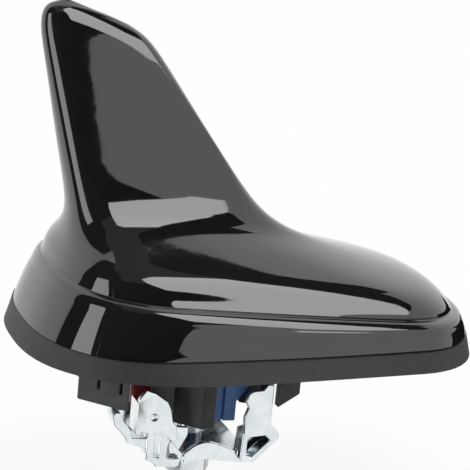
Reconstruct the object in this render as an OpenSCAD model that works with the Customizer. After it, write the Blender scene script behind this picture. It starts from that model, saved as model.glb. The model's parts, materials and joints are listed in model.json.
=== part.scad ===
// Shark fin roof aerial for a car: gloss cover, rubber roof seal, die-cast base, aerial boards,
// coded jacks under the roof and a sheet steel claw pulled up by one bolt.
// Frame in mm: +X to the nose, +Y to the left, +Z up. The roof is z = 0 and the neck's middle is x = y = 0.

/* [Cover] */
// Length of the seal's foot on the roof
cover_length = 112; // [90:1:140]
// Width of the seal's foot on the roof
cover_width = 76; // [60:1:95]
// Height of the fin's tip over the roof
cover_height = 79.5; // [60:0.5:95]
// Distance from the neck's middle forward to the middle of the cover
cover_offset = 14.5; // [8:0.5:20]
// Wall of the moulded cover
cover_wall = 2; // [1.5:0.1:3]
// Bore for the cover's screws
screw_hole = 2.4; // [2:0.1:3]

/* [Seal and base] */
// Width of the seal's outer band under the cover's edge
band_width = 2.8; // [2.6:0.1:4.5]
// Thickness of the seal's web between the roof and the base
web_thickness = 1.5; // [1:0.1:2.5]
// Thickness of the die-cast base plate
base_thickness = 2.2; // [1.8:0.1:2.6]
// Gap between the base plate and the seal's band
base_gap = 0.3; // [0.1:0.1:0.8]
// Width of the lip that the base plate presses on
lip_width = 2; // [1.5:0.1:4]
// Width of the foam seal round the neck
foam_width = 2.4; // [1.5:0.1:4]

/* [Roof neck] */
// Length of the eight-sided neck that goes through the roof
neck_length = 56; // [48:1:64]
// Width of the neck
neck_width = 41.6; // [36:0.2:48]
// Size of the neck's corner chamfers along each side
neck_chamfer = 9.8; // [6:0.2:12]
// Depth of the neck's corner tabs below the roof
neck_depth = 12.2; // [8:0.1:16]
// Depth of the low walls that join the corner tabs
neck_wall_depth = 5; // [3:0.5:7]
// Wall of the neck
neck_wall = 1.8; // [1.4:0.1:2.6]
// Length of the neck's front and rear shells along X
neck_shell = 9.8; // [8:0.2:12]

/* [Jacks] */
// Outside width of a jack's plastic housing
jack_width = 8.6; // [8:0.1:10]
// Depth of the jack housings below the roof
jack_depth = 17; // [14:0.5:22]
// Diameter of a jack's metal sleeve
sleeve_diameter = 5.2; // [4.4:0.1:6]
// Diameter of a jack's centre pin
pin_diameter = 1; // [0.8:0.1:1.4]
// Wall of a jack's housing
jack_wall = 1; // [0.8:0.1:1.4]

/* [Clamp] */
// Thickness of the claw's spring steel
claw_thickness = 1.2; // [0.8:0.1:1.6]
// Depth of the claw's bridge below the roof
claw_depth = 26; // [24:0.5:32]
// Distance from the neck's middle forward to the bolt
bolt_offset = 4; // [0:0.5:6]
// Diameter of the clamping bolt's thread
bolt_diameter = 6; // [5:0.5:8]
// Size of the bolt's hexagon across its flats
bolt_hex = 10; // [8:0.5:13]

/* [Boards] */
// Thickness of the circuit boards
board_thickness = 1.6; // [1:0.1:2]
// Distance from the fin's tip down to the aerial board's top edge
fin_board_drop = 19.5; // [15:0.5:30]
// Width of the aerial board at its foot
fin_board_width = 18; // [14:1:22]

/* [Hidden] */
$fn = 48;
eps = 0.01;
half_length = cover_length / 2;
half_width = cover_width / 2;

// The cover's sections, from the seam upward. Each row holds the rear end's x and z, the nose end's x and z,
// the half width, its taper to the nose, the round of the tail, the round of the nose and the rise between
// the ends. Lengths are shares of the cover's half length, height and half width.
// rear x, rear z, nose x, nose z, width, taper, tail, nose round, rise
foot_row = [-1, -0.009, 1, -0.009, 1.05, 0.28, 0.87, 0.40, 0.009];
seam_row = [-0.968, 0.058, 0.973, 0.054, 0.945, 0.22, 0.54, 0.34, -0.005];
shoulder_row = [-0.882, 0.212, 0.938, 0.110, 0.845, 0.16, 0.47, 0.34, -0.005];
wall_row = [-0.867, 0.220, 0.903, 0.121, 0.777, 0.16, 0.43, 0.34, -0.002];
upper_rows = [
    [-0.858, 0.233, 0.887, 0.138, 0.747, 0.10, 0.36, 0.31, 0.004],
    [-0.848, 0.259, 0.829, 0.182, 0.723, 0.16, 0.33, 0.33, 0.014],
    [-0.823, 0.289, 0.681, 0.219, 0.636, 0.25, 0.25, 0.41, 0.011],
    [-0.801, 0.351, 0.472, 0.257, 0.416, 0.30, 0.27, 0.49, 0.021],
    [-0.810, 0.419, 0.243, 0.302, 0.232, 0.33, 0.13, 0.44, 0.013],
    [-0.841, 0.512, 0.051, 0.367, 0.191, 0.30, 0.10, 0.10, 0.024],
    [-0.886, 0.649, -0.123, 0.519, 0.176, 0.27, 0.11, 0.024, 0.032],
    [-0.931, 0.799, -0.300, 0.689, 0.154, 0.27, 0.15, 0.036, 0.015],
    [-0.973, 0.920, -0.430, 0.817, 0.128, 0.24, 0.11, 0.054, -0.002],
    [-0.958, 0.974, -0.513, 0.890, 0.110, 0.24, 0.085, 0.055, 0.004],
    [-0.917, 0.988, -0.580, 0.919, 0.042, 0.23, 0.07, 0.056, 0.013],
    [-0.866, 0.995, -0.609, 0.930, 0.004, 0.13, 0.03, 0.02, 0.001]
];

// A row in mm, moved in by an inset
function row_mm(row, inset = 0) = [
    cover_offset + row[0] * half_length + inset,
    row[1] * cover_height,
    cover_offset + row[2] * half_length - inset,
    row[3] * cover_height,
    row[4] * half_width - inset,
    row[5],
    row[6] * half_length,
    row[7] * half_length,
    row[8] * cover_height
];

// Quarter round of length 1: 0 at its end, 1 from its length on
function round_end(s, power) = pow(1 - pow(1 - min(max(s, 0), 1), power), 1 / power);

// Half width of a row at the share u of its length
function row_width(row, u) =
    let (chord = row[2] - row[0])
    let (tail = round_end(chord * u / row[6], 2 + 0.014 * row[4]))
    let (nose = round_end(chord * (1 - u) / row[7], 2 + 0.01 * row[4]))
    row[4] * (1 - row[5] * u * u) * tail * nose;

// Closed ring of points round a row
function ring(row, count) = [
    for (k = [0 : count - 1])
        let (angle = 360 * k / count)
        let (u = (1 - cos(angle)) / 2)
        let (y = row_width(row, u) * (angle <= 180 ? -1 : 1))
        [row[0] + (row[2] - row[0]) * u, y, row[1] + (row[3] - row[1]) * u + row[8] * 4 * u * (1 - u)]
];
function flat(points) = [for (p = points) [p[0], p[1]]];

// Uniform cubic B-spline through a list of rows, with held ends
function spline_row(rows, t) =
    let (last = len(rows) - 1)
    let (i = min(floor(t), last + 1))
    let (f = t - i)
    let (pick = [for (k = [-2 : 1]) rows[min(max(i + k, 0), last)]])
    (pow(1 - f, 3) * pick[0] + (3 * pow(f, 3) - 6 * pow(f, 2) + 4) * pick[1]
        + (-3 * pow(f, 3) + 3 * pow(f, 2) + 3 * f + 1) * pick[2] + pow(f, 3) * pick[3]) / 6;
function spline_rows(rows, steps) = [
    for (k = [0 : (len(rows) + 1) * steps])
        spline_row(rows, k / steps)
];

// Rows of the skirt up to its shoulder, a little full in the middle
skirt_fullness = 0.5;
function skirt_rows(low, high, steps) = [
    for (k = [0 : steps])
        let (t = k / steps)
        let (full = skirt_fullness * 4 * t * (1 - t))
        (1 - t) * low + t * high + [-full, 0, full, 0, full, 0, 0, 0, 0]
];

// Rows of the round over the shoulder, from the skirt to the ledge at the dome's foot
function shoulder_rows(low, corner, high, steps) = [
    for (k = [1 : steps])
        let (t = k / steps)
        pow(1 - t, 2) * low + 2 * t * (1 - t) * corner + t * t * high
];

// Solid through a stack of rings, closed by strips across its first and last ring
module loft(rows, count) {
    points = [for (row = rows) each ring(row, count)];
    last = (len(rows) - 1) * count;
    sides = [
        for (i = [0 : len(rows) - 2], k = [0 : count - 1])
            let (a = i * count + k)
            let (b = i * count + (k + 1) % count)
            each [[a, b + count, b], [a, a + count, b + count]]
    ];
    caps = [
        for (k = [0 : count / 2 - 1])
            let (m = (count - k) % count)
            let (n = count - k - 1)
            each (k == 0 ? [[k, k + 1, n], [last + k, last + n, last + k + 1]]
                : k == count / 2 - 1 ? [[k, k + 1, m], [last + k, last + m, last + k + 1]]
                : [[k, k + 1, n, m], [last + k, last + m, last + n, last + k + 1]])
    ];
    polyhedron(points, concat(sides, caps));
}

outer_count = 64;
inner_count = 40;
round_start = 0.8;
ledge_start = 0.75;
seam = row_mm(seam_row);
shoulder = row_mm(shoulder_row);
skirt_top = (1 - round_start) * seam + round_start * shoulder;
ledge = (1 - ledge_start) * shoulder + ledge_start * row_mm(wall_row);
outer_rows = concat(
    skirt_rows(seam, skirt_top, 3),
    shoulder_rows(skirt_top, shoulder, ledge, 3),
    spline_rows([for (row = concat([wall_row], upper_rows)) row_mm(row)], 3));

// The hollow follows the outside as far up as the fin's board needs
hollow_nose_inset = 2 * cover_wall;
function hollow_row(row, drop) = row_mm(row, cover_wall) - [0, drop, 0, drop, 0, 0, 0, 0, 0];
fin_rows = [for (i = [4 : 8]) hollow_row(upper_rows[i], cover_wall) - [0, 0, hollow_nose_inset, 0, 0, 0, 0, 0, 0]];
hollow_rows = concat(
    [hollow_row(seam_row, cover_wall)],
    spline_rows(concat([hollow_row(shoulder_row, cover_wall), hollow_row(wall_row, cover_wall)],
        [for (i = [0 : 3]) hollow_row(upper_rows[i], cover_wall)], fin_rows), 2));

// Half width of the cover's seam at a place along X
function seam_half(x) = row_width(seam, (x - seam[0]) / (seam[2] - seam[0]));

// Heights of the stacked pieces over the roof
base_bottom = web_thickness;
base_top = base_bottom + base_thickness;
board_gap = 3.6;
board_bottom = base_top + board_gap;
board_top = board_bottom + board_thickness;
fit = 0.2;

// Screws of the cover: two beside the neck's rear corners and two by the nose
post_radius = 3.2;
post_depth = 9;
head_diameter = 4.6;
head_height = 1.3;
screw_margin = 0.8;
corner_reach = (foam_width + head_diameter / 2 + screw_margin) * sqrt(0.5);
rear_screw = [-(neck_length - neck_chamfer) / 2 - corner_reach, (neck_width - neck_chamfer) / 2 + corner_reach];
nose_screw_x = seam[2] - 31;
nose_screw = [nose_screw_x, seam_half(nose_screw_x) - band_width - base_gap - head_diameter / 2 - screw_margin];
cover_screws = [
    rear_screw, [rear_screw[0], -rear_screw[1]],
    nose_screw, [nose_screw[0], -nose_screw[1]]
];

// Gloss moulded cover with its four screw posts inside
module cover() {
    color("#101114")
        difference() {
            loft(outer_rows, outer_count);
            difference() {
                loft(hollow_rows, inner_count);
                at_cover_screws(base_top)
                    cylinder(r = post_radius, h = cover_height / 2);
            }
            at_cover_screws(base_top - 1)
                cylinder(d = screw_hole, h = post_depth + 1);
        }
}
module at_cover_screws(z) {
    for (place = cover_screws)
        translate([place[0], place[1], z])
            children();
}

// Rubber band from the roof up to the cover's edge, with a lip under the base plate
seam_relief = 0.06;
module roof_gasket() {
    foot = row_mm(foot_row);
    inner_top = row_mm(seam_row, band_width) - [0, seam_relief, 0, seam_relief, 0, 0, 0, 0, 0];
    lip = row_mm(seam_row, band_width + lip_width);
    rows = [
        foot,
        seam,
        inner_top,
        at_height(inner_top, web_thickness),
        at_height(lip, web_thickness),
        at_height(lip, web_thickness / 3)
    ];
    count = outer_count;
    faces = [
        for (i = [0 : len(rows) - 1], k = [0 : count - 1])
            let (a = i * count + k)
            let (b = i * count + (k + 1) % count)
            let (c = ((i + 1) % len(rows)) * count + k)
            let (d = ((i + 1) % len(rows)) * count + (k + 1) % count)
            each [[a, d, b], [a, c, d]]
    ];
    color("#3a3a3c")
        difference() {
            polyhedron([for (row = rows) each ring(row, count)], faces);
            at_cover_screws(-1)
                cylinder(d = head_diameter + 3 * fit, h = 1 + web_thickness + eps);
        }
}

// A row laid flat at one height
function at_height(row, z) = [row[0], z, row[2], z, row[4], row[5], row[6], row[7], 0];

// Eight-sided outline of the roof opening, grown by a margin
module neck_outline(grow) {
    x = neck_length / 2 + grow;
    y = neck_width / 2 + grow;
    c = neck_chamfer + grow * (2 - sqrt(2));
    polygon([[-x, -y + c], [-x + c, -y], [x - c, -y], [x, -y + c], [x, y - c], [x - c, y], [-x + c, y], [-x, y - c]]);
}

// Foam ring that seals the base against the roof round the opening
module foam_seal() {
    color("#26262a")
        linear_extrude(web_thickness)
            difference() {
                neck_outline(foam_width);
                neck_outline(fit);
            }
}

// Outline of the main board and the screws at its corners
board_front = seam[2] - 19;
board_rear = -neck_length / 2 + 4;
board_half_width = (neck_width - 1.6) / 2;
board_chamfer = 4;
board_nose = [12, 10];
board_screw_diameter = 2;
rear_board_screw = [board_rear + 5, board_half_width - board_chamfer];
nose_board_screw = [board_front - 18, board_half_width - 6];
board_screws = [
    rear_board_screw, [rear_board_screw[0], -rear_board_screw[1]],
    nose_board_screw, [nose_board_screw[0], -nose_board_screw[1]]
];

// Die-cast base plate with its bolt boss, board pillars and pin holes
boss_diameter = 15;
boss_height = 7;
insert_diameter = 9.5;
pillar_diameter = 5;
tail_hole = 3.4;
module base_plate() {
    outline = flat(ring(row_mm(seam_row, band_width + base_gap), outer_count));
    color("#a3a6aa")
        difference() {
            union() {
                translate([0, 0, base_bottom])
                    linear_extrude(base_thickness)
                        polygon(outline);
                translate([bolt_offset, 0, base_bottom])
                    cylinder(d = boss_diameter, h = boss_height);
                for (place = board_screws)
                    translate([place[0], place[1], base_bottom])
                        cylinder(d = pillar_diameter, h = board_bottom - base_bottom);
            }
            translate([bolt_offset, 0, base_bottom - eps])
                cylinder(d = insert_diameter, h = boss_height + 2 * eps);
            at_cover_screws(0)
                cylinder(d = screw_hole + fit, h = base_top + eps);
            for (place = board_screws)
                translate([place[0], place[1], base_top])
                    cylinder(d = board_screw_diameter, h = board_gap + 2 * eps);
            for (jack = jacks)
                translate([jack[0], jack[1], 0])
                    cylinder(d = tail_hole, h = base_top + eps);
        }
}

// Steel insert in the boss, threaded for the clamping bolt
module bolt_insert() {
    color("#c9a84a")
        translate([bolt_offset, 0, base_bottom])
            difference() {
                cylinder(d = insert_diameter, h = boss_height - 1);
                translate([0, 0, -eps])
                    cylinder(d = bolt_diameter, h = boss_height);
            }
}

// Shell of the neck at one end: two deep corner tabs joined by a low wall, open to the jacks. The rear tabs
// have two stress slots each, and the front tabs end short of the corner.
slot_width = 0.6;
slot_depth = 8.5;
front_tab_gap = 1;
tab_y = neck_width / 2 - neck_chamfer;
module neck_shell(end, gap) {
    color("#3f3f42")
        translate([0, 0, -neck_depth])
            difference() {
                linear_extrude(neck_depth + base_bottom)
                    intersection() {
                        difference() {
                            neck_outline(0);
                            neck_outline(-neck_wall);
                        }
                        translate([end * (neck_length / 2 - neck_shell / 2), 0])
                            square([neck_shell, neck_width + 1], center = true);
                    }
                translate([end * (neck_length / 2 - gap), 0, (neck_depth - neck_wall_depth) / 2 - eps])
                    cube([2 * neck_wall + 2 * gap, 2 * (tab_y + gap), neck_depth - neck_wall_depth], center = true);
                if (end < 0)
                    for (side = [-1, 1], share = [0.38, 0.8])
                        translate([
                            -neck_length / 2 + neck_chamfer * share,
                            side * (neck_width / 2 - neck_chamfer * (1 - share)),
                            neck_depth - slot_depth
                        ])
                            rotate(side * 45)
                                cube([slot_width, 3 * neck_wall, 2 * slot_depth]);
            }
}
module neck_rear() {
    neck_shell(-1, 0);
}
module neck_front() {
    neck_shell(1, front_tab_gap);
}

// Coded jacks: x and y of the pin, size in x, size in y and the chamfer of the outer corner
jack_gap = 0.4;
blue_width = 6.4;
blue_bolt_gap = 7;
bordeaux_bolt_gap = 4.3;
corner_cut = 0.8;
black_jack = [-1.4, (jack_width - neck_width) / 2, jack_width, jack_width, 5.6];
blue_x = black_jack[0] + (jack_width + blue_width) / 2 + jack_gap;
blue_jack = [blue_x, -blue_bolt_gap - jack_width / 2, blue_width, jack_width, corner_cut];
bordeaux_x = black_jack[0] - jack_width - 2.5 * jack_gap;
bordeaux_jack = [bordeaux_x, -bordeaux_bolt_gap - jack_width / 2, jack_width, jack_width, corner_cut];
jacks = [black_jack, blue_jack, bordeaux_jack];
bordeaux_depth = jack_depth - 4;
jack_floor = 4;
key_width = 1.2;
pin_inset = 3;
sleeve_inset = 1;
sleeve_gap = 0.3;

// Outline of a jack's housing, grown by a margin
module jack_outline(jack, grow) {
    x = jack[2] / 2 + grow;
    y = jack[3] / 2 + grow;
    c = jack[4];
    translate([jack[0], jack[1]])
        polygon([[-x, -y + c], [-x + c, -y], [x, -y], [x, y], [-x, y]]);
}

// Plastic housing of a jack, open below, with a coding key in its bore
module jack_housing(jack, depth) {
    difference() {
        translate([0, 0, -depth])
            linear_extrude(depth + base_bottom)
                jack_outline(jack, 0);
        translate([jack[0], jack[1], -depth - eps]) {
            cylinder(d = min(jack[2], jack[3]) - 2 * jack_wall, h = depth - jack_floor + eps);
            translate([-key_width / 2, 0, 0])
                cube([key_width, (jack[3] - jack_wall) / 2, depth - jack_floor]);
            cylinder(d = pin_diameter + fit, h = depth + base_bottom + 1);
        }
    }
}

// Metal sleeve of a jack
sleeve_wall = 0.35;
module jack_sleeve(jack, depth) {
    outside = min(sleeve_diameter, jack[2] - 2 * jack_wall - 2 * sleeve_gap);
    height = depth - jack_floor - sleeve_inset;
    translate([jack[0], jack[1], sleeve_inset - depth])
        difference() {
            cylinder(d = outside, h = height);
            translate([0, 0, -eps])
                cylinder(d = outside - 2 * sleeve_wall, h = height + 2 * eps);
        }
}

// Centre pin of a jack, up to the main board
module jack_pin(jack, depth) {
    translate([jack[0], jack[1], pin_inset - depth])
        cylinder(d = pin_diameter, h = depth - pin_inset + board_bottom);
}

// Black carrier over the jacks, with a tab before the bordeaux jack and a slanted tab behind the blue one
carrier_thickness = 2.4;
carrier_front = 18.6;
carrier_back = 9;
rear_tab = [5.5, 1.8, 13.4];
front_tab_y = -11;
front_tab_thickness = 1.6;
module jack_carrier() {
    near = black_jack[1];
    left = bordeaux_x;
    top = base_bottom - fit;
    color("#252528") {
        difference() {
            union() {
                translate([left - jack_width / 2 - 1, near, top - carrier_thickness])
                    cube([carrier_front - left + jack_width / 2 + 1, carrier_back - near, carrier_thickness]);
                translate([left - 0.7, blue_jack[1] - jack_width / 2 - rear_tab[1] + 0.4, -rear_tab[2]])
                    cube([rear_tab[0], rear_tab[1], rear_tab[2]]);
            }
            translate([0, 0, -jack_depth]) {
                linear_extrude(2 * jack_depth) {
                    for (jack = jacks)
                        jack_outline(jack, fit);
                    translate([bolt_offset, 0])
                        circle(d = bolt_diameter + 2);
                }
            }
            blue_wedge(fit);
        }
        carrier_front_tab();
    }
}
module carrier_front_tab() {
    left = blue_x + blue_width / 2 + 2.4;
    right = carrier_front;
    translate([0, front_tab_y + front_tab_thickness, 0])
        rotate([90, 0, 0])
            linear_extrude(front_tab_thickness)
                polygon([
                    [left, 0], [left, -14.2], [left + 2.7, -14.7], [left + 3.8, -12.1],
                    [right - 0.6, -11.8], [right, -10.4], [right, 0]
                ]);
}

// Guide wedge along the blue jack's front side, grown by a margin
wedge_reach = 3.2;
wedge_depth = [8.1, 12.2];
wedge_length = 4;
module blue_wedge(grow) {
    x = blue_x + blue_width / 2 - eps;
    translate([0, blue_jack[1] - jack_width / 2 + wedge_length + grow, 0])
        rotate([90, 0, 0])
            linear_extrude(wedge_length + 2 * grow)
                polygon([
                    [x, base_bottom], [x, -wedge_depth[1] - grow], [x + wedge_reach + grow, -wedge_depth[0] - grow],
                    [x + wedge_reach + grow, base_bottom]
                ]);
}
module jack_black_housing() {
    color("#3f3f42")
        jack_housing(black_jack, jack_depth);
}
module jack_blue_housing() {
    groove = [1.2, 0.8];
    color("#3f679f")
        difference() {
            union() {
                jack_housing(blue_jack, jack_depth);
                blue_wedge(0);
            }
            translate([blue_x - 1, blue_jack[1] - jack_width / 2 - eps, -jack_depth - eps])
                cube([groove[0], groove[1], jack_depth]);
        }
}
module jack_bordeaux_housing() {
    color("#6a1626")
        jack_housing(bordeaux_jack, bordeaux_depth);
}
module jack_black_sleeve() {
    color("#c8b070")
        jack_sleeve(black_jack, jack_depth);
}
module jack_blue_sleeve() {
    color("#c8b070")
        jack_sleeve(blue_jack, jack_depth);
}
module jack_bordeaux_sleeve() {
    color("#c8b070")
        jack_sleeve(bordeaux_jack, bordeaux_depth);
}
module jack_black_pin() {
    color("#d8b040")
        jack_pin(black_jack, jack_depth);
}
module jack_blue_pin() {
    color("#d8b040")
        jack_pin(blue_jack, jack_depth);
}
module jack_bordeaux_pin() {
    color("#d8b040")
        jack_pin(bordeaux_jack, bordeaux_depth);
}

// Spring steel claw, one stamping: a bridge under the jacks, wavy side flanges, and four arms with curled heels.
// Outlines are x and z; those of the arms' tops hang from the roof, and the rest stands on the bridge.
arm_y = neck_width / 2 - 0.4;
flange_y = arm_y - 3.4;
rear_arm_x = -neck_length / 2 + neck_shell + 2.5;
front_arm_x = neck_length / 2 - neck_shell - 2.2;
arm_foot = 6.6 - claw_depth;
heel_width = 5;
return_width = 6;
strip = claw_thickness;
module claw() {
    color("#c9ced2")
        difference() {
            union() {
                translate([rear_arm_x + 5, -flange_y, -claw_depth])
                    cube([front_arm_x - rear_arm_x - 7, 2 * flange_y, strip]);
                for (side = [-1, 1])
                    scale([1, -side, 1]) {
                        claw_flange();
                        claw_rear_arm();
                        claw_front_arm();
                    }
            }
            translate([bolt_offset, 0, -claw_depth - 1])
                cylinder(d = bolt_diameter + 2 * fit, h = strip + 2);
        }
}

// Sheet of the claw upright in XZ, with its outer face at a distance to the side
module upright(y, width) {
    translate([0, width - y, 0])
        rotate([90, 0, 0])
            linear_extrude(width)
                children();
}

// Side flange of the bridge: its crest beside the bolt falls away to both arms, over an arch as wide as the crest
module claw_flange() {
    crest = 4.3;
    low = 1.6;
    drop = 1.1;
    span = [rear_arm_x + 13, front_arm_x - 2.4];
    steps = 16;
    function hill(u) = (1 - cos(360 * pow(u, 0.62))) / 2;
    function edge(u, z, rise) = [span[0] + (span[1] - span[0]) * u, z + rise * hill(u)];
    upright(flange_y, strip)
        translate([0, -claw_depth])
            polygon(concat(
                [for (k = [0 : steps]) edge(k / steps, low, crest - low)],
                [for (k = [steps : -1 : 0]) edge(k / steps, -drop, drop)]));
}

// Rear arm: a trimmed plate with a hole, a return flange, two thin legs, a foot, a gusset and a heel
module claw_rear_arm() {
    x = rear_arm_x;
    z = arm_foot;
    hole = [3.9, 5.6];
    leg_width = 1.9;
    upright(arm_y, strip)
        difference() {
            union() {
                polygon([
                    [x, -9.3], [x + 1.6, -7.2], [x + 3.8, -8], [x + 7, -10.2], [x + 7.9, -12], [x + 8.6, z + 4.2],
                    [x + 9.6, z + 3.4], [x + 10.1, z - 0.1], [x + 8.6, z - 0.5], [x + 7.3, z + 0.9],
                    [x + 2.5, z + 1.7], [x, z + 2.4]
                ]);
                for (leg = [2.7, 5.8])
                    translate([x + leg, z - 5])
                        square([leg_width, 7]);
                polygon([
                    [x + 2, z - 2.2], [x + 3.4, z - 4], [x + 10.6, z - 4.9], [x + 10.9, z - 6.5],
                    [x + 10, z - 6.9], [x + 5.3, z - 6.5], [x + 3.4, z - 5]
                ]);
            }
            translate([x + hole[0], z + hole[1]])
                circle(d = 1.7);
        }
    // Return flange and heel behind the plate
    translate([x - 0.1, -arm_y, z + 1.4])
        cube([strip, return_width, -10.2 - z - 1.4]);
    upright(arm_y - 0.4, heel_width)
        polygon([
            [x - 5.3, z + 6.9], [x - 6, z + 5.9], [x - 5.3, z + 3.6], [x - 2.8, z + 1.1], [x - 2.1, z - 0.6],
            [x + 2.8, z - 2.4], [x + 3.2, z - 0.4], [x + 2.6, z + 0.4], [x - 0.9, z + 0.5], [x - 1.9, z + 3.3],
            [x - 3.1, z + 4.5], [x - 4.1, z + 6.8]
        ]);
    // Shelf from the foot to the bridge, with the gusset and the inner leg on it
    translate([x + 5, -arm_y, -claw_depth])
        cube([5.9, arm_y - flange_y + strip, 1.6 * strip]);
    upright(flange_y, strip)
        polygon([
            [x + 9.8, z + 2], [x + 13.6, z + 1.6], [x + 13.6, z - 0.3], [x + 11.9, z - 3.6],
            [x + 11.4, z - 6], [x + 9.6, z - 6]
        ]);
    upright(arm_y - 1.7, strip)
        polygon([[x + 8.8, z - 0.7], [x + 12.2, z - 4.4], [x + 11.7, z - 6.6], [x + 9.2, z - 6.6], [x + 8.4, z - 2.3]]);
}

// Front arm: a narrow plate with a return flange, and a heel pressed into a cup
module claw_front_arm() {
    x = front_arm_x;
    z = arm_foot;
    upright(arm_y - 1.4, strip)
        polygon([
            [x, -7.1], [x + 1.5, -7.1], [x + 1.5, z + 1.4], [x - 0.3, z + 0.2], [x - 4.9, z + 0.4], [x - 5.1, z + 4.3],
            [x - 4.3, z + 6.7], [x - 5.1, z + 8.3], [x - 4.3, -9.1], [x - 3.3, -8.6], [x - 1, -8.4]
        ]);
    translate([x + 0.4, -arm_y + 1.4, z + 0.8])
        cube([strip, return_width, -7.1 - z - 0.8]);
    upright(arm_y - 1.4, heel_width)
        difference() {
            polygon([
                [x - 5, z + 0.4], [x + 1.6, z + 2.3], [x + 3.7, z + 0.5], [x + 3.9, z - 1.1], [x + 2.4, z - 2.7],
                [x - 2, z - 7], [x - 5, z - 6.6], [x - 5.4, z - 5.8]
            ]);
            polygon([[x - 3.8, z - 0.7], [x + 0.6, z - 0.3], [x + 1.7, z - 1.5], [x - 2.6, z - 5.6], [x - 3.9, z - 5.2]]);
        }
    upright(arm_y - heel_width, strip)
        polygon([[x - 4.4, z - 0.2], [x + 0.9, z + 0.3], [x + 2.6, z - 1.5], [x - 2.6, z - 6.2], [x - 4.5, z - 5.9]]);
}

// Clamping bolt with its hexagon head on a round collar, and the washer between collar and claw
washer_diameter = 16;
washer_thickness = 1.6;
collar_diameter = 12.5;
collar_thickness = 1.8;
bolt_head = 5.4;
head_chamfer = 0.9;
bolt_below = claw_depth + washer_thickness;
module clamp_washer() {
    color("#b9bec2")
        translate([bolt_offset, 0, -bolt_below])
            difference() {
                cylinder(d = washer_diameter, h = washer_thickness);
                translate([0, 0, -eps])
                    cylinder(d = bolt_diameter + 2 * fit, h = washer_thickness + 2 * eps);
            }
}
module clamp_bolt() {
    corner = bolt_hex / cos(30);
    color("#c4c8cb")
        translate([bolt_offset, 0, -bolt_below - collar_thickness]) {
            cylinder(d = collar_diameter, h = collar_thickness);
            translate([0, 0, -bolt_head])
                intersection() {
                    cylinder(d = corner, h = bolt_head + eps, $fn = 6);
                    cylinder(d1 = corner - 2 * head_chamfer, d2 = corner - 2 * head_chamfer + 4 * bolt_head, h = bolt_head + eps);
                }
            cylinder(d = bolt_diameter, h = bolt_below + collar_thickness + base_bottom + boss_height - 2);
        }
}

// Main board under the dome, with its hole over the bolt's boss
module main_board() {
    color("#1f6b3a")
        translate([0, 0, board_bottom])
            difference() {
                linear_extrude(board_thickness)
                    polygon([for (side = [-1, 1]) each mirrored([
                        [board_rear, board_half_width - board_chamfer],
                        [board_rear + board_chamfer, board_half_width],
                        [board_front - board_nose[0], board_half_width],
                        [board_front, board_half_width - board_nose[1]]
                    ], side)]);
                translate([bolt_offset, 0, -eps])
                    cylinder(d = boss_diameter + 2, h = board_thickness + 2 * eps);
                for (place = board_screws)
                    translate([place[0], place[1], -eps])
                        cylinder(d = board_screw_diameter + fit, h = board_thickness + 2 * eps);
            }
}

// Points of one side of an outline, for the side -1 in their order and for the side 1 mirrored and turned back
function mirrored(points, side) = [
    for (k = [0 : len(points) - 1])
        let (p = points[side < 0 ? k : len(points) - 1 - k])
        [p[0], side * p[1]]
];

// Tinplate can over the amplifier
module shield_can() {
    size = [12, 11, 3.4];
    can_wall = 0.3;
    color("#b4b8ba")
        translate([rear_board_screw[0] + 3.5, 5, board_top])
            difference() {
                cube(size);
                translate([can_wall, can_wall, -eps])
                    cube([size[0] - 2 * can_wall, size[1] - 2 * can_wall, size[2] - can_wall]);
            }
}

// Ceramic satellite patch with its silver face and feed pin
patch_side = 18;
patch_height = 4;
patch_x = board_front - 19;
feed_offset = 2;
feed_hole = 1.2;
module satellite_patch() {
    color("#d9cfa8")
        translate([patch_x - patch_side / 2, -patch_side / 2, board_top])
            difference() {
                cube([patch_side, patch_side, patch_height]);
                translate([patch_side / 2 + feed_offset, patch_side / 2, -eps])
                    cylinder(d = feed_hole, h = patch_height + 2 * eps);
            }
}
electrode_thickness = 0.2;
module patch_electrode() {
    margin = 2;
    color("#cfd3d4")
        translate([patch_x - patch_side / 2 + margin, -patch_side / 2 + margin, board_top + patch_height])
            difference() {
                cube([patch_side - 2 * margin, patch_side - 2 * margin, electrode_thickness]);
                translate([patch_side / 2 + feed_offset - margin, patch_side / 2 - margin, -eps])
                    cylinder(d = feed_hole, h = 1);
            }
}
module patch_pin() {
    seat = patch_height + electrode_thickness;
    color("#d8b040")
        translate([patch_x + feed_offset, 0, board_top]) {
            cylinder(d = feed_hole - fit, h = seat);
            translate([0, 0, seat])
                cylinder(d = 1.5 * feed_hole, h = 0.3);
        }
}

// Stamped telephone element, a folded strip beside the patch
module phone_element() {
    thickness = 0.4;
    stem = [6, 5.4];
    bar = [16, 2.4];
    place = [bolt_offset + 4, patch_side / 2 + 1.6];
    color("#c3c7c9")
        translate([place[0], place[1], board_top]) {
            cube([stem[0], thickness, stem[1]]);
            translate([0, 0, stem[1] - eps])
                cube([bar[0], thickness, bar[1]]);
            translate([0, -bar[1], stem[1] + bar[1] - thickness])
                cube([bar[0], bar[1] + eps, thickness]);
        }
}

// Upright board of the radio element, from the holder up into the fin along its rear edge
fin_board_x = board_rear + 2;
fin_board_sheet = 1;
fin_board_top = cover_height - fin_board_drop;
fin_rear_gap = 4.5;
rear_edge = [for (row = upper_rows) [row[1] * cover_height, cover_offset + row[0] * half_length]];
function fin_rear(z) = lookup(z, rear_edge) + fin_rear_gap;
module fin_board() {
    foot = board_top + 1;
    waist = 0.45 * fin_board_top;
    chest = 0.72 * fin_board_top;
    color("#2c7a48")
        upright(fin_board_sheet / 2, fin_board_sheet)
            polygon([
                [fin_board_x, foot], [fin_board_x + fin_board_width, foot],
                [fin_rear(waist) + fin_board_width, waist],
                [fin_rear(fin_board_top) + 0.45 * fin_board_width, fin_board_top],
                [fin_rear(fin_board_top), fin_board_top], [fin_rear(chest), chest], [fin_rear(waist), waist]
            ]);
}

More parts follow.
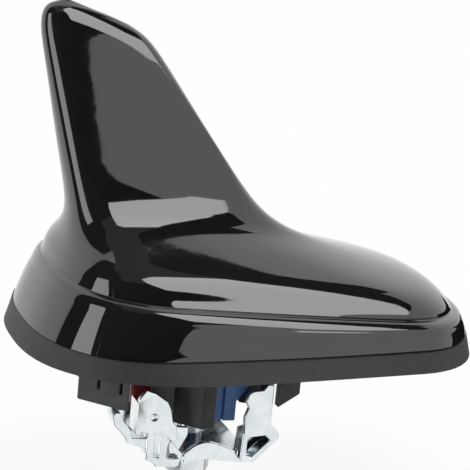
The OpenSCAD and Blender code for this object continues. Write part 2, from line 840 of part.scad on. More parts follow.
// Plastic holder that grips the upright board on the main board
holder_height = 6;
holder_floor = 0.9;
module board_holder() {
    length = 12;
    width = 7;
    slot = fin_board_sheet + fit;
    color("#d8d8d0")
        translate([fin_board_x - 1, -width / 2, board_top])
            difference() {
                cube([length, width, holder_height]);
                translate([-1, (width - slot) / 2, holder_floor])
                    cube([length + 2, slot, holder_height]);
            }
}

// Phosphor bronze spring from the main board to the upright board's foot
module contact_spring() {
    size = [4, 2.4, 3];
    sheet = 0.3;
    color("#c08a50")
        translate([fin_board_x + 13, fin_board_sheet / 2, board_top])
            difference() {
                cube(size);
                translate([-1, sheet, sheet])
                    cube([size[0] + 2, size[1] - 2 * sheet, size[2] - 2 * sheet]);
            }
}

// Screws from below through the base plate into the cover's posts
screw_diameter = screw_hole;
slot_size = [0.6, 0.5, 1.2];
module pan_screw(thread, length, head) {
    difference() {
        union() {
            translate([0, 0, -eps])
                cylinder(d = thread, h = length);
            translate([0, 0, -head_height])
                cylinder(d = head, h = head_height);
        }
        for (turn = [-45, 45])
            translate([0, 0, -head_height - eps])
                rotate(turn)
                    cube([slot_size[0], slot_size[1] * head, slot_size[2]], center = true);
    }
}
module cover_screw(k) {
    color("#8d9195")
        translate([cover_screws[k][0], cover_screws[k][1], base_bottom])
            pan_screw(screw_diameter, base_thickness + post_depth - 1, head_diameter);
}
module board_screw(k) {
    color("#8d9195")
        translate([board_screws[k][0], board_screws[k][1], board_top])
            mirror([0, 0, 1])
                pan_screw(board_screw_diameter, board_thickness + board_gap - fit, head_diameter - screw_margin);
}

cover();
roof_gasket();
foam_seal();
base_plate();
bolt_insert();
neck_rear();
neck_front();
jack_black_housing();
jack_black_sleeve();
jack_black_pin();
jack_blue_housing();
jack_blue_sleeve();
jack_blue_pin();
jack_bordeaux_housing();
jack_bordeaux_sleeve();
jack_bordeaux_pin();
jack_carrier();
claw();
clamp_washer();
clamp_bolt();
main_board();
shield_can();
satellite_patch();
patch_electrode();
patch_pin();
phone_element();
fin_board();
board_holder();
contact_spring();
cover_screw(0);  // cover_screw_1
cover_screw(1);  // cover_screw_2
cover_screw(2);  // cover_screw_3
cover_screw(3);  // cover_screw_4
board_screw(0);  // board_screw_1
board_screw(1);  // board_screw_2
board_screw(2);  // board_screw_3
board_screw(3);  // board_screw_4
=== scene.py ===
import json
import math

import bmesh
import bpy
import numpy as np
from mathutils import Matrix, Vector


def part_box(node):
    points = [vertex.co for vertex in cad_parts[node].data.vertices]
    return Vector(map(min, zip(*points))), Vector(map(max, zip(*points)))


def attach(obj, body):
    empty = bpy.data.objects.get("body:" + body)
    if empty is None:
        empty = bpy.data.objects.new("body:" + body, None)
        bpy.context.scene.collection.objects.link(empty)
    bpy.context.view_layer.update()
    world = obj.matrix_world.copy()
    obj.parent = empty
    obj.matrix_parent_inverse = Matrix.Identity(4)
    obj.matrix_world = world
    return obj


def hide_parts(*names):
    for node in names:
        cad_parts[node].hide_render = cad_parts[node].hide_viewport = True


MM = 0.001
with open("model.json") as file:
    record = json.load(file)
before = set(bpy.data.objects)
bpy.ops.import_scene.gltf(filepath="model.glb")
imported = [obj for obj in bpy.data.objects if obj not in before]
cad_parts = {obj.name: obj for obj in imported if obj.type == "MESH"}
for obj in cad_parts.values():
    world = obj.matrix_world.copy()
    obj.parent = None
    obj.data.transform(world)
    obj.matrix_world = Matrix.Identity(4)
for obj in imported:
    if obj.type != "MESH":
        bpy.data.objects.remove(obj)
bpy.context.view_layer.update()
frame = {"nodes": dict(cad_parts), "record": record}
SLOTS = {part["node"]: part["material_slot"] for part in frame["record"]["subparts"]}


# Materials
class Shader:
    """A node material built step by step around one Principled shader."""

    def __init__(self, name):
        self.material = bpy.data.materials.new(name)
        self.material.use_nodes = True
        self.tree = self.material.node_tree
        self.tree.nodes.clear()
        self.out = self.add("ShaderNodeOutputMaterial")
        self.main = self.add("ShaderNodeBsdfPrincipled")
        self.link(self.main.outputs[0], self.out.inputs[0])
        self.place = self.add("ShaderNodeTexCoord").outputs["Object"]

    def add(self, kind, **values):
        node = self.tree.nodes.new(kind)
        for key, value in values.items():
            setattr(node, key, value)
        return node

    def link(self, source, target):
        self.tree.links.new(source, target)

    def fixed(self, **values):
        """Sets sockets of the shader that are the same all over."""
        for key, value in values.items():
            self.main.inputs[key.replace("_", " ")].default_value = value

    def noise(self, per_mm, detail=3.0, roughness=0.55, stretch=None):
        """Noise whose grain is 1/per_mm long, in 0..1."""
        node = self.add("ShaderNodeTexNoise")
        node.inputs["Scale"].default_value = per_mm / MM
        node.inputs["Detail"].default_value = detail
        node.inputs["Roughness"].default_value = roughness
        if stretch:
            mapping = self.add("ShaderNodeMapping")
            mapping.inputs["Scale"].default_value = stretch
            self.link(self.place, mapping.inputs["Vector"])
            self.link(mapping.outputs[0], node.inputs["Vector"])
        else:
            self.link(self.place, node.inputs["Vector"])
        return node.outputs["Fac"]

    def cells(self, per_mm):
        """Distance to the middle of foam-like cells that are 1/per_mm wide."""
        node = self.add("ShaderNodeTexVoronoi")
        node.inputs["Scale"].default_value = per_mm / MM
        self.link(self.place, node.inputs["Vector"])
        return node.outputs["Distance"]

    def ramp(self, source, *stops):
        """Stops are (position, value or colour)."""
        node = self.add("ShaderNodeValToRGB")
        while len(node.color_ramp.elements) < len(stops):
            node.color_ramp.elements.new(0.5)
        for element, (position, value) in zip(node.color_ramp.elements, stops):
            element.position = position
            colour = value if isinstance(value, tuple) else (value, value, value)
            element.color = (*colour, 1)
        self.link(source, node.inputs[0])
        return node.outputs[0]

    def times(self, a, factor):
        node = self.add("ShaderNodeMath", operation="MULTIPLY")
        self.link(a, node.inputs[0])
        node.inputs[1].default_value = factor
        return node.outputs[0]

    def plus(self, a, b):
        node = self.add("ShaderNodeMath", operation="ADD")
        self.link(a, node.inputs[0])
        self.link(b, node.inputs[1])
        return node.outputs[0]

    def colour(self, source):
        self.link(source, self.main.inputs["Base Color"])

    def rough(self, source):
        self.link(source, self.main.inputs["Roughness"])

    def bump(self, height, depth_mm, strength=1.0):
        node = self.add("ShaderNodeBump")
        node.inputs["Strength"].default_value = strength
        node.inputs["Distance"].default_value = depth_mm * MM
        self.link(height, node.inputs["Height"])
        self.link(node.outputs[0], self.main.inputs["Normal"])


def gloss_black():
    """Piano black lacquer with a faint orange peel."""
    s = Shader("gloss_black")
    s.colour(s.ramp(s.noise(0.08), (0.3, (0.011, 0.011, 0.012)), (0.7, (0.014, 0.014, 0.015))))
    s.rough(s.ramp(s.noise(0.5, 4), (0.35, 0.028), (0.7, 0.045)))
    s.fixed(IOR=1.75)
    s.bump(s.noise(0.45, 2), 0.0022)
    return s.material


def seal_rubber():
    """Dull rubber with a fine moulded grain."""
    s = Shader("seal_rubber")
    grain = s.noise(2.6, 4, 0.7)
    s.colour(s.ramp(grain, (0.3, (0.031, 0.0305, 0.033)), (0.72, (0.05, 0.0495, 0.052))))
    s.rough(s.ramp(s.noise(1.1), (0.3, 0.56), (0.7, 0.7)))
    s.fixed(Specular_IOR_Level=0.4)
    s.bump(grain, 0.09, 0.8)
    return s.material


def foam_rubber():
    """Closed-cell foam."""
    s = Shader("foam_rubber")
    grain = s.cells(2.2)
    s.colour(s.ramp(grain, (0.1, (0.012, 0.012, 0.013)), (0.7, (0.03, 0.03, 0.032))))
    s.fixed(Roughness=0.95)
    s.bump(grain, 0.2)
    return s.material


def moulded(name, dark, light, rough=0.5, grain=3.0, depth=0.03):
    """Moulded plastic: fine grain, a slow cloud of colour and a dull sheen."""
    s = Shader(name)
    cloud = s.times(s.noise(0.25), 0.7)
    fleck = s.times(s.noise(grain), 0.3)
    s.colour(s.ramp(s.plus(cloud, fleck), (0.35, dark), (0.68, light)))
    s.rough(s.ramp(s.noise(grain * 0.6), (0.3, rough - 0.07), (0.7, rough + 0.07)))
    s.fixed(Specular_IOR_Level=0.4)
    s.bump(s.noise(grain, 3), depth)
    return s.material


def plated(name, dark, light, rough=0.22, streak=(1, 1, 1), depth=0.012):
    """Bright plated metal: soft blotches of tint, uneven dullness and fine handling marks."""
    s = Shader(name)
    blotch = s.noise(0.22, 3, 0.6)
    marks = s.noise(1.3, 5, 0.7, streak)
    wear = s.plus(s.times(blotch, 0.5), s.times(marks, 0.5))
    s.colour(s.ramp(blotch, (0.34, dark), (0.66, light)))
    s.rough(s.ramp(wear, (0.35, rough - 0.08), (0.68, rough + 0.12)))
    s.fixed(Metallic=1.0)
    s.bump(marks, depth)
    return s.material


def board_green():
    """Solder mask that shows faint copper areas."""
    s = Shader("board_green")
    cloud = s.noise(0.9, 2)
    deep, pale, middle = (0.008, 0.075, 0.022), (0.014, 0.12, 0.04), (0.012, 0.1, 0.032)
    s.colour(s.ramp(cloud, (0.45, deep), (0.5, pale), (0.56, middle)))
    s.fixed(Roughness=0.32)
    s.bump(cloud, 0.03)
    return s.material


def patch_ceramic():
    """Fired ceramic, unglazed."""
    s = Shader("patch_ceramic")
    grain = s.noise(3.0, 4)
    s.colour(s.ramp(grain, (0.3, (0.55, 0.48, 0.3)), (0.7, (0.72, 0.64, 0.44))))
    s.fixed(Roughness=0.6)
    s.bump(grain, 0.02)
    return s.material


ALONG_Z = (1, 1, 0.35)
FINISHES = {
    "gloss_black": gloss_black(),
    "seal_rubber": seal_rubber(),
    "foam_rubber": foam_rubber(),
    "zinc_casting": plated("zinc_casting", (0.3, 0.31, 0.32), (0.46, 0.47, 0.48), 0.42, depth=0.05),
    "brass": plated("brass", (0.5, 0.34, 0.12), (0.66, 0.47, 0.2), 0.25),
    "neck_plastic": moulded("neck_plastic", (0.035, 0.035, 0.0365), (0.051, 0.051, 0.0525), 0.55),
    "jack_black": moulded("jack_black", (0.026, 0.026, 0.0275), (0.038, 0.038, 0.0395), 0.5),
    "jack_blue": moulded("jack_blue", (0.045, 0.125, 0.33), (0.06, 0.165, 0.42), 0.4),
    "jack_bordeaux": moulded("jack_bordeaux", (0.26, 0.007, 0.018), (0.38, 0.014, 0.032), 0.38),
    "sleeve_metal": plated("sleeve_metal", (0.42, 0.36, 0.25), (0.6, 0.52, 0.38), 0.24),
    "gold_plate": plated("gold_plate", (0.62, 0.4, 0.12), (0.8, 0.56, 0.2), 0.18),
    "zinc_plate": plated("zinc_plate", (0.62, 0.67, 0.69), (0.76, 0.8, 0.81), 0.16, ALONG_Z, 0.003),
    "bolt_steel": plated("bolt_steel", (0.62, 0.65, 0.67), (0.76, 0.78, 0.79), 0.22, depth=0.006),
    "board_green": board_green(),
    "tinplate": plated("tinplate", (0.5, 0.5, 0.5), (0.68, 0.68, 0.67), 0.3),
    "patch_ceramic": patch_ceramic(),
    "silver_print": plated("silver_print", (0.62, 0.62, 0.6), (0.8, 0.8, 0.78), 0.35),
    "holder_plastic": moulded("holder_plastic", (0.5, 0.5, 0.44), (0.66, 0.66, 0.6)),
    "spring_bronze": plated("spring_bronze", (0.5, 0.24, 0.1), (0.68, 0.38, 0.2), 0.28),
    "screw_steel": plated("screw_steel", (0.34, 0.35, 0.37), (0.54, 0.55, 0.57), 0.3),
}
for name, slot in SLOTS.items():
    materials = frame["nodes"][name].data.materials
    materials.clear()
    materials.append(FINISHES[slot])


# Cover and roof gasket, smoother lofts from the rows of the part's source
LENGTH = 112
WIDTH = 76
HEIGHT = 79.5
OFFSET = 14.5
WALL = 2
BAND_WIDTH = 2.8
LIP_WIDTH = 2.0
WEB_THICKNESS = 1.5
SEAM_RELIEF = 0.06

# A row is one level of the cover. It holds the place of its rear and nose ends, its half width, how far it
# tapers to the nose, how long its tail and nose are rounded and how much its middle rises. The rows are
# shares of the half length, the height and the half width, as fitted to the outlines and the reflections in
# the photo.
REAR_X, REAR_Z, NOSE_X, NOSE_Z, HALF_WIDTH, TAPER, TAIL, NOSE, RISE = range(9)
FOOT = (-1, -0.009, 1, -0.009, 1.05, 0.28, 0.87, 0.40, 0.009)
GASKET_TOP = (-0.968, 0.058, 0.973, 0.054, 0.945, 0.22, 0.54, 0.34, -0.005)
SEAM = (-0.968, 0.0535, 0.973, 0.0495, 0.920, 0.22, 0.54, 0.34, -0.005)
SHOULDER = (-0.882, 0.2165, 0.938, 0.1145, 0.870, 0.16, 0.47, 0.34, -0.005)
WALL_FOOT = (-0.867, 0.220, 0.903, 0.121, 0.777, 0.16, 0.43, 0.34, -0.002)
UPPER = (
    (-0.858, 0.233, 0.887, 0.138, 0.747, 0.10, 0.36, 0.31, 0.004),
    (-0.848, 0.259, 0.829, 0.182, 0.723, 0.16, 0.33, 0.33, 0.014),
    (-0.823, 0.289, 0.681, 0.219, 0.636, 0.25, 0.25, 0.41, 0.011),
    (-0.801, 0.351, 0.472, 0.257, 0.416, 0.30, 0.27, 0.49, 0.021),
    (-0.810, 0.419, 0.243, 0.302, 0.232, 0.33, 0.13, 0.44, 0.013),
    (-0.841, 0.512, 0.051, 0.367, 0.191, 0.30, 0.10, 0.10, 0.024),
    (-0.886, 0.649, -0.123, 0.519, 0.176, 0.27, 0.11, 0.024, 0.032),
    (-0.931, 0.799, -0.300, 0.689, 0.154, 0.27, 0.15, 0.036, 0.015),
    (-0.973, 0.920, -0.430, 0.817, 0.128, 0.24, 0.11, 0.054, -0.002),
    (-0.958, 0.974, -0.513, 0.890, 0.110, 0.24, 0.085, 0.055, 0.004),
    (-0.917, 0.988, -0.580, 0.919, 0.042, 0.23, 0.07, 0.056, 0.013),
    (-0.866, 0.995, -0.609, 0.930, 0.004, 0.13, 0.03, 0.02, 0.001),
)
TAIL_SQUARENESS = 0.014
NOSE_SQUARENESS = 0.01
SKIRT_FULLNESS = 0.25
ROUND_START = 0.8
LEDGE_START = 0.75
RING_POINTS = 256
SKIRT_STEPS = 20
ROUND_STEPS = 12
UPPER_STEPS = 12
GASKET_SHARP_DEG = 40


def row_mm(row, inset=0.0):
    half, wide = LENGTH / 2, WIDTH / 2
    rx, rz, nx, nz, w, taper, tail, nose, rise = row
    return np.array([
        OFFSET + rx * half + inset, rz * HEIGHT, OFFSET + nx * half - inset, nz * HEIGHT,
        w * wide - inset, taper, tail * half, nose * half, rise * HEIGHT,
    ])


def round_end(share, power):
    return (1 - (1 - np.clip(share, 0, 1)) ** power) ** (1 / power)


def ring(row):
    """Points round one level of the cover, the right-hand side first."""
    angle = 2 * np.pi * np.arange(RING_POINTS) / RING_POINTS
    u = (1 - np.cos(angle)) / 2
    chord = row[NOSE_X] - row[REAR_X]
    tail = round_end(chord * u / row[TAIL], 2 + TAIL_SQUARENESS * row[HALF_WIDTH])
    nose = round_end(chord * (1 - u) / row[NOSE], 2 + NOSE_SQUARENESS * row[HALF_WIDTH])
    side = np.where(angle <= np.pi, -1, 1)
    y = row[HALF_WIDTH] * (1 - row[TAPER] * u * u) * tail * nose * side
    z = row[REAR_Z] + (row[NOSE_Z] - row[REAR_Z]) * u + row[RISE] * 4 * u * (1 - u)
    return np.stack([row[REAR_X] + chord * u, y, z], -1)


def spline_rows(rows, steps):
    """Uniform cubic B-spline through the rows, with held ends."""
    rows = np.array(rows)
    last = len(rows) - 1
    out = []
    for t in np.linspace(0, last + 1, (last + 1) * steps + 1)[:-1]:
        i = int(t)
        f = t - i
        a, b, c, d = (rows[min(max(i + k, 0), last)] for k in (-2, -1, 0, 1))
        out.append(((1 - f) ** 3 * a + (3 * f ** 3 - 6 * f * f + 4) * b
                    + (-3 * f ** 3 + 3 * f * f + 3 * f + 1) * c + f ** 3 * d) / 6)
    out.append(rows[last])
    return out


def skirt_rows(low, high, steps):
    """Rows up the skirt, a little full in the middle."""
    outward = np.array([-1, 0, 1, 0, 1, 0, 0, 0, 0])
    shares = np.linspace(0, 1, steps + 1)
    return [(1 - t) * low + t * high + SKIRT_FULLNESS * 4 * t * (1 - t) * outward for t in shares]


def shoulder_rows(low, corner, high, steps):
    """Quadratic curve over the shoulder, from the skirt to the foot of the dome."""
    shares = np.linspace(0, 1, steps + 1)[1:]
    return [(1 - t) ** 2 * low + 2 * t * (1 - t) * corner + t * t * high for t in shares]


def band(low, high):
    """Faces between two rings, given the numbers of their first points."""
    turn = [(k, (k + 1) % RING_POINTS) for k in range(RING_POINTS)]
    return [(low + a, low + b, high + b, high + a) for a, b in turn]


def smooth_mesh(name, rows, faces, slot):
    mesh = bpy.data.meshes.new(name)
    mesh.from_pydata([tuple(p * MM) for row in rows for p in ring(row)], [], faces)
    mesh.validate()
    mesh.shade_smooth()
    mesh.materials.append(FINISHES[slot])
    return mesh


def cover_piece():
    """The cover's outside, closed at the seam and at the fin's tip by strips across."""
    seam, shoulder, foot = row_mm(SEAM), row_mm(SHOULDER), row_mm(WALL_FOOT)
    low = (1 - ROUND_START) * seam + ROUND_START * shoulder
    ledge = (1 - LEDGE_START) * shoulder + LEDGE_START * foot
    rows = [row_mm(SEAM, WALL)]
    rows += skirt_rows(seam, low, SKIRT_STEPS)
    rows += shoulder_rows(low, shoulder, ledge, ROUND_STEPS)
    rows += spline_rows([row_mm(row) for row in (WALL_FOOT, *UPPER)], UPPER_STEPS)
    last = (len(rows) - 1) * RING_POINTS
    faces = []
    for first in range(0, last, RING_POINTS):
        faces += band(first, first + RING_POINTS)
    for k in range(RING_POINTS // 2):
        far, next_far = (RING_POINTS - k) % RING_POINTS, RING_POINTS - k - 1
        faces.append(tuple(dict.fromkeys((last + k, last + k + 1, last + next_far, last + far))))
        faces.append(tuple(dict.fromkeys((far, next_far, k + 1, k))))
    piece = bpy.data.objects.new("cover_shell", smooth_mesh("cover_shell", rows, faces, "gloss_black"))
    bpy.context.scene.collection.objects.link(piece)
    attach(piece, "root")
    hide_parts("cover")


def at_height(row, height):
    """The row's outline, laid flat at that height."""
    flat = row.copy()
    flat[[REAR_Z, NOSE_Z]] = height
    flat[RISE] = 0
    return flat


def gasket_piece():
    """The roof gasket: foot, outer slope, seat for the cover, web and lip."""
    foot, top, inner = row_mm(FOOT), row_mm(GASKET_TOP), row_mm(GASKET_TOP, BAND_WIDTH)
    inner[[REAR_Z, NOSE_Z]] -= SEAM_RELIEF
    lip = row_mm(GASKET_TOP, BAND_WIDTH + LIP_WIDTH)
    rows = [foot, (foot + top) / 2, top, inner, at_height(inner, WEB_THICKNESS)]
    rows += [at_height(lip, WEB_THICKNESS), at_height(lip, WEB_THICKNESS / 3)]
    faces = []
    for i in range(len(rows)):
        faces += band(i * RING_POINTS, (i + 1) % len(rows) * RING_POINTS)
    mesh = smooth_mesh("roof_gasket_smooth", rows, faces, "seal_rubber")
    mesh.set_sharp_from_angle(angle=math.radians(GASKET_SHARP_DEG))
    piece = bpy.data.objects.new("roof_gasket_smooth", mesh)
    bpy.context.scene.collection.objects.link(piece)
    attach(piece, "root")
    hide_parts("roof_gasket")


cover_piece()
gasket_piece()


# Rounded edges on the parts under the roof line
ROUNDING_STEPS = 3
ROUNDED_OVER_DEG = 28
SHARP_OVER_DEG = 12
WELD_MM = 0.004
FLAT_WITHIN_DEG = 1.5
ROUNDING_MM = {
    "claw": 0.2,
    "jack_blue_housing": 0.22,
    "jack_bordeaux_housing": 0.25,
    "jack_carrier": 0.25,
    "neck_rear": 0.35,
    "neck_front": 0.35,
    "clamp_washer": 0.25,
    "clamp_bolt": 0.12,
}


def stand_in(name, mesh, width_mm):
    """A piece for a CAD node, its pressed or moulded edges rounded."""
    slot = SLOTS[name]
    mesh.materials.clear()
    mesh.materials.append(FINISHES[slot])
    mesh.shade_smooth()
    raw = bpy.data.objects.new(name + "_raw", mesh)
    bpy.context.scene.collection.objects.link(raw)
    rounding = raw.modifiers.new("rounding", "BEVEL")
    rounding.width = width_mm * MM
    rounding.segments = ROUNDING_STEPS
    rounding.limit_method = "ANGLE"
    rounding.angle_limit = math.radians(ROUNDED_OVER_DEG)
    rounding.use_clamp_overlap = False
    graph = bpy.context.evaluated_depsgraph_get()
    done = bpy.data.meshes.new_from_object(raw.evaluated_get(graph))
    bpy.data.objects.remove(raw)
    done.name = name + "_rounded"
    done.set_sharp_from_angle(angle=math.radians(SHARP_OVER_DEG))
    piece = bpy.data.objects.new(name + "_rounded", done)
    bpy.context.scene.collection.objects.link(piece)
    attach(piece, "root")
    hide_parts(name)


def merge_flat_faces(model):
    limit = math.radians(FLAT_WITHIN_DEG)
    bmesh.ops.dissolve_limit(model, angle_limit=limit, verts=model.verts, edges=model.edges)


def rounded(name, width_mm):
    mesh = bpy.data.meshes.new(name + "_copy")
    model = bmesh.new()
    model.from_mesh(frame["nodes"][name].data)
    bmesh.ops.remove_doubles(model, verts=model.verts, dist=WELD_MM * MM)
    merge_flat_faces(model)
    model.to_mesh(mesh)
    model.free()
    stand_in(name, mesh, width_mm)


def clipped_circle(middle, radius, flat, count=64):
    """A circle with its side towards -X -Y cut flat at that distance."""
    out = []
    for k in range(count):
        turn = 2 * math.pi * k / count
        p = Vector((math.cos(turn), math.sin(turn))) * radius
        over = max(0.0, -(p.x + p.y) * math.sqrt(0.5) - flat)
        out.append((middle.x + p.x + over * math.sqrt(0.5), middle.y + p.y + over * math.sqrt(0.5)))
    return out


def tube(name, outline, bore, low, high, floor=None):
    """A prism with a hole from below, closed at the floor when there is one."""
    model = bmesh.new()

    def loop(points, z):
        return [model.verts.new((x, y, z)) for x, y in points]

    def wall(a, b):
        for k in range(len(a)):
            model.faces.new((a[k], a[(k + 1) % len(a)], b[(k + 1) % len(b)], b[k]))

    def rim(a, b):
        edges = [model.edges.get((v[k], v[(k + 1) % len(v)])) for v in (a, b) for k in range(len(v))]
        bmesh.ops.triangle_fill(model, edges=edges, use_beauty=True)

    outer_low, outer_high, inner_low = loop(outline, low), loop(outline, high), loop(bore, low)
    inner_high = loop(bore, high if floor is None else floor)
    wall(outer_low, outer_high)
    wall(inner_high, inner_low)
    rim(outer_low, inner_low)
    if floor is None:
        rim(outer_high, inner_high)
    else:
        model.faces.new(outer_high)
        model.faces.new(inner_high)
    bmesh.ops.recalc_face_normals(model, faces=model.faces)
    merge_flat_faces(model)
    mesh = bpy.data.meshes.new(name + "_tube")
    model.to_mesh(mesh)
    model.free()
    return mesh


def black_jack():
    """The black jack with its wide corner face closed and its bore and sleeve flat behind it."""
    corner, bore_depth = 5.6 * MM, 13 * MM
    bore_radius, bore_flat = 3.3 * MM, 1.3 * MM
    sleeve_radius, sleeve_flat = 2.9 * MM, 1.1 * MM
    inside_radius, inside_flat = 2.55 * MM, 0.8 * MM
    low, high = (Vector(c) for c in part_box("jack_black_housing"))
    middle = (low + high) / 2
    outline = [
        (low.x, low.y + corner), (low.x + corner, low.y), (high.x, low.y), (high.x, high.y), (low.x, high.y),
    ]
    bore = clipped_circle(middle, bore_radius, bore_flat)
    housing = tube("housing", outline, bore, low.z, high.z, low.z + bore_depth)
    stand_in("jack_black_housing", housing, 0.3)
    low, high = (Vector(c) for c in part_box("jack_black_sleeve"))
    outside = clipped_circle(middle, sleeve_radius, sleeve_flat)
    inside = clipped_circle(middle, inside_radius, inside_flat)
    stand_in("jack_black_sleeve", tube("sleeve", outside, inside, low.z, high.z), 0.06)


black_jack()
for name, width_mm in ROUNDING_MM.items():
    rounded(name, width_mm)


# Camera, solved from the photo
AZIMUTH = math.radians(-20.008)
ELEVATION = math.radians(15.183)
ROLL = math.radians(5.411)
TARGET = Vector((11.09, 0, 23.993)) * MM
DISTANCE = 520.9 * MM
FOCAL_PX = 2195.9
FRAME_PX = 470
SENSOR_MM = 36


def place_camera():
    back = Vector((math.sin(AZIMUTH) * math.cos(ELEVATION), -math.cos(AZIMUTH) * math.cos(ELEVATION),
                   math.sin(ELEVATION)))
    level = (-back).cross(Vector((0, 0, 1))).normalized()
    upright = level.cross(-back)
    right = math.cos(ROLL) * level + math.sin(ROLL) * upright
    up = -math.sin(ROLL) * level + math.cos(ROLL) * upright
    lens = bpy.data.cameras.new("camera")
    lens.sensor_width = SENSOR_MM
    lens.lens = FOCAL_PX * SENSOR_MM / FRAME_PX
    lens.clip_start = 0.05
    lens.clip_end = 20
    camera = bpy.data.objects.new("camera", lens)
    bpy.context.scene.collection.objects.link(camera)
    turn = Matrix((right, up, back)).transposed().to_4x4()
    camera.matrix_world = Matrix.Translation(TARGET + DISTANCE * back) @ turn
    bpy.context.scene.camera = camera


place_camera()


# Studio: soft lamps that light the part, and cards and cloths that only its gloss shows
def direction(azimuth, elevation):
    a, e = math.radians(azimuth), math.radians(elevation)
    return Vector((math.cos(a) * math.cos(e), math.sin(a) * math.cos(e), math.sin(e)))


def lamp(name, azimuth, elevation, distance, size, level):
    """A square soft lamp of that radiance, which reflections don't show."""
    light = bpy.data.lights.new(name, "AREA")
    light.shape = "RECTANGLE"
    light.size = size
    light.size_y = size
    light.energy = level * math.pi * size * size
    holder = bpy.data.objects.new(name, light)
    bpy.context.scene.collection.objects.link(holder)
    away = direction(azimuth, elevation)
    aim = away.to_track_quat("Z", "Y").to_matrix().to_4x4()
    holder.matrix_world = Matrix.Translation(TARGET + away * distance) @ aim
    holder.visible_glossy = False


def card(name, distance, material, *corners):
    """A flat card that only reflections see; its corners are azimuths and elevations in degrees."""
    aims = [direction(*corner) for corner in corners]
    middle = sum(aims, Vector()).normalized()
    points = [TARGET + aim * distance / aim.dot(middle) for aim in aims]
    mesh = bpy.data.meshes.new(name)
    mesh.from_pydata(points, [], [tuple(range(len(points)))])
    sheet = bpy.data.objects.new(name, mesh)
    bpy.context.scene.collection.objects.link(sheet)
    mesh.materials.append(material)
    sheet.visible_camera = False
    sheet.visible_diffuse = False
    sheet.visible_shadow = False
    sheet.visible_transmission = False


def card_material(name, dark, light, glow=0.0):
    s = Shader(name)
    s.colour(s.ramp(s.noise(0.002), (0.3, dark), (0.7, light)))
    s.fixed(Roughness=1.0, Specular_IOR_Level=0.0, Emission_Color=(1, 1, 1, 1), Emission_Strength=glow)
    return s.material


BLACK_CLOTH = card_material("black_cloth", 0.002, 0.004)
CEILING = card_material("ceiling_paper", 0.02, 0.03, 0.15)
PAPER = card_material("white_paper", 0.3, 0.35, 1.0)
SOFTBOX = card_material("softbox_face", 0.3, 0.35, 4.0)
SOFTBOX_REAR = card_material("softbox_rear_face", 0.3, 0.35, 2.4)

card("paper_front", 4.0, PAPER, (-80, -30), (-80, 30), (-60, 55), (-10, 62), (40, 55), (30, -30))
card("paper_far", 4.2, PAPER, (30, -30), (40, 55), (90, 60), (150, 50), (157, -30))
card("cloth_floor", 3.0, BLACK_CLOTH, (-90, -14), (-100, -60), (-145, -60), (-150, -14))
card("cloth_front_low", 3.0, BLACK_CLOTH, (0, -40), (50, -40), (50, 2), (0, 2))
card("ceiling", 3.4, CEILING,
     (25, 60), (32, 70), (45, 75), (80, 77), (130, 76), (170, 68), (-150, 58), (-136, 48), (-90, 57),
     (-9, 66))
card("cloth_camera_side", 3.0, BLACK_CLOTH,
     (-86, -22), (-84, -13), (-68, -10), (-72, -6), (-72, -4), (-70, 2), (-66, 9), (-62, 16), (-59, 32),
     (-52, 46), (-50, 71), (-50, 90), (-143, 76), (-150, 60), (-150, 10), (-148, -25), (-110, -28))
card("cloth_rear", 3.0, BLACK_CLOTH,
     (157, -30), (157, 20), (156, 50), (150, 75), (-150, 80), (-150, 40), (-150, -30))
card("cloth_gap", 3.0, BLACK_CLOTH,
     (36, 40), (35, 52), (32, 60), (27, 67), (18, 64), (-2, 61), (-28, 52), (-45, 37), (-52, 22), (-40, 32),
     (-18, 43), (11, 55), (34, 45))
card("softbox_rear", 2.8, SOFTBOX_REAR, (178, -30), (178, 28), (-164, 35), (-157, 0), (-150, -30))
card("softbox_side", 2.8, SOFTBOX,
     (18, 64), (-57, 76), (-68, 65), (-62, 45), (-63, 24), (-61, 7), (-57, 6), (-56, 9), (-51, 22), (-45, 36),
     (-28, 52), (-2, 61))
lamp("soft_rear", -170, 12, 1.5, 0.8, 4.5)
lamp("soft_front", 5, 10, 1.5, 0.8, 1.2)
lamp("soft_top", 40, 68, 1.5, 0.9, 6.0)


# White floor under the bolt, and a white world
FLOOR_REACH = 4
FLOOR_WHITE_SHARE = 0.92
AMBIENT = 0.3


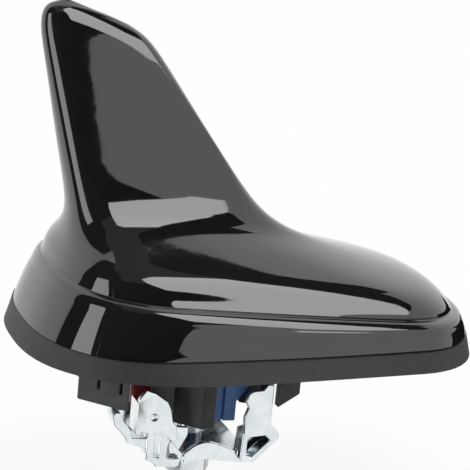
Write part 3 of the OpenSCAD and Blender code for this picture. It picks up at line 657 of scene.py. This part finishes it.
def white_floor():
    """Shines white for the camera, with a share left for the part's shadow."""
    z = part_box("clamp_bolt")[0].z
    r = FLOOR_REACH
    mesh = bpy.data.meshes.new("floor")
    mesh.from_pydata([(-r, -r, z), (r, -r, z), (r, r, z), (-r, r, z)], [], [(0, 1, 2, 3)])
    floor = bpy.data.objects.new("floor", mesh)
    bpy.context.scene.collection.objects.link(floor)
    s = Shader("floor")
    s.colour(s.ramp(s.noise(0.001), (0.3, 0.9), (0.7, 0.92)))
    s.fixed(Roughness=0.9, Specular_IOR_Level=0.1)
    glow = s.add("ShaderNodeEmission")
    mix = s.add("ShaderNodeMixShader")
    path = s.add("ShaderNodeLightPath")
    s.link(s.times(path.outputs["Is Camera Ray"], FLOOR_WHITE_SHARE), mix.inputs[0])
    s.link(s.main.outputs[0], mix.inputs[1])
    s.link(glow.outputs[0], mix.inputs[2])
    s.link(mix.outputs[0], s.out.inputs[0])
    mesh.materials.append(s.material)
    floor.visible_glossy = False


def white_world():
    """White for the camera, gloss and glass, and a dim fill for the rest."""
    world = bpy.data.worlds.new("world")
    bpy.context.scene.world = world
    world.use_nodes = True
    tree = world.node_tree
    tree.nodes.clear()
    out = tree.nodes.new("ShaderNodeOutputWorld")
    white, fill = (tree.nodes.new("ShaderNodeBackground") for _ in range(2))
    white.inputs[0].default_value = (1, 1, 1, 1)
    fill.inputs[0].default_value = (1, 1, 1, 1)
    fill.inputs[1].default_value = AMBIENT
    path = tree.nodes.new("ShaderNodeLightPath")
    seen = path.outputs["Is Camera Ray"]
    for ray in ("Is Glossy Ray", "Is Transmission Ray"):
        either = tree.nodes.new("ShaderNodeMath")
        either.operation = "MAXIMUM"
        tree.links.new(seen, either.inputs[0])
        tree.links.new(path.outputs[ray], either.inputs[1])
        seen = either.outputs[0]
    mix = tree.nodes.new("ShaderNodeMixShader")
    tree.links.new(seen, mix.inputs[0])
    tree.links.new(fill.outputs[0], mix.inputs[1])
    tree.links.new(white.outputs[0], mix.inputs[2])
    tree.links.new(mix.outputs[0], out.inputs[0])


white_floor()
white_world()

bpy.context.scene.view_settings.view_transform = "Standard"
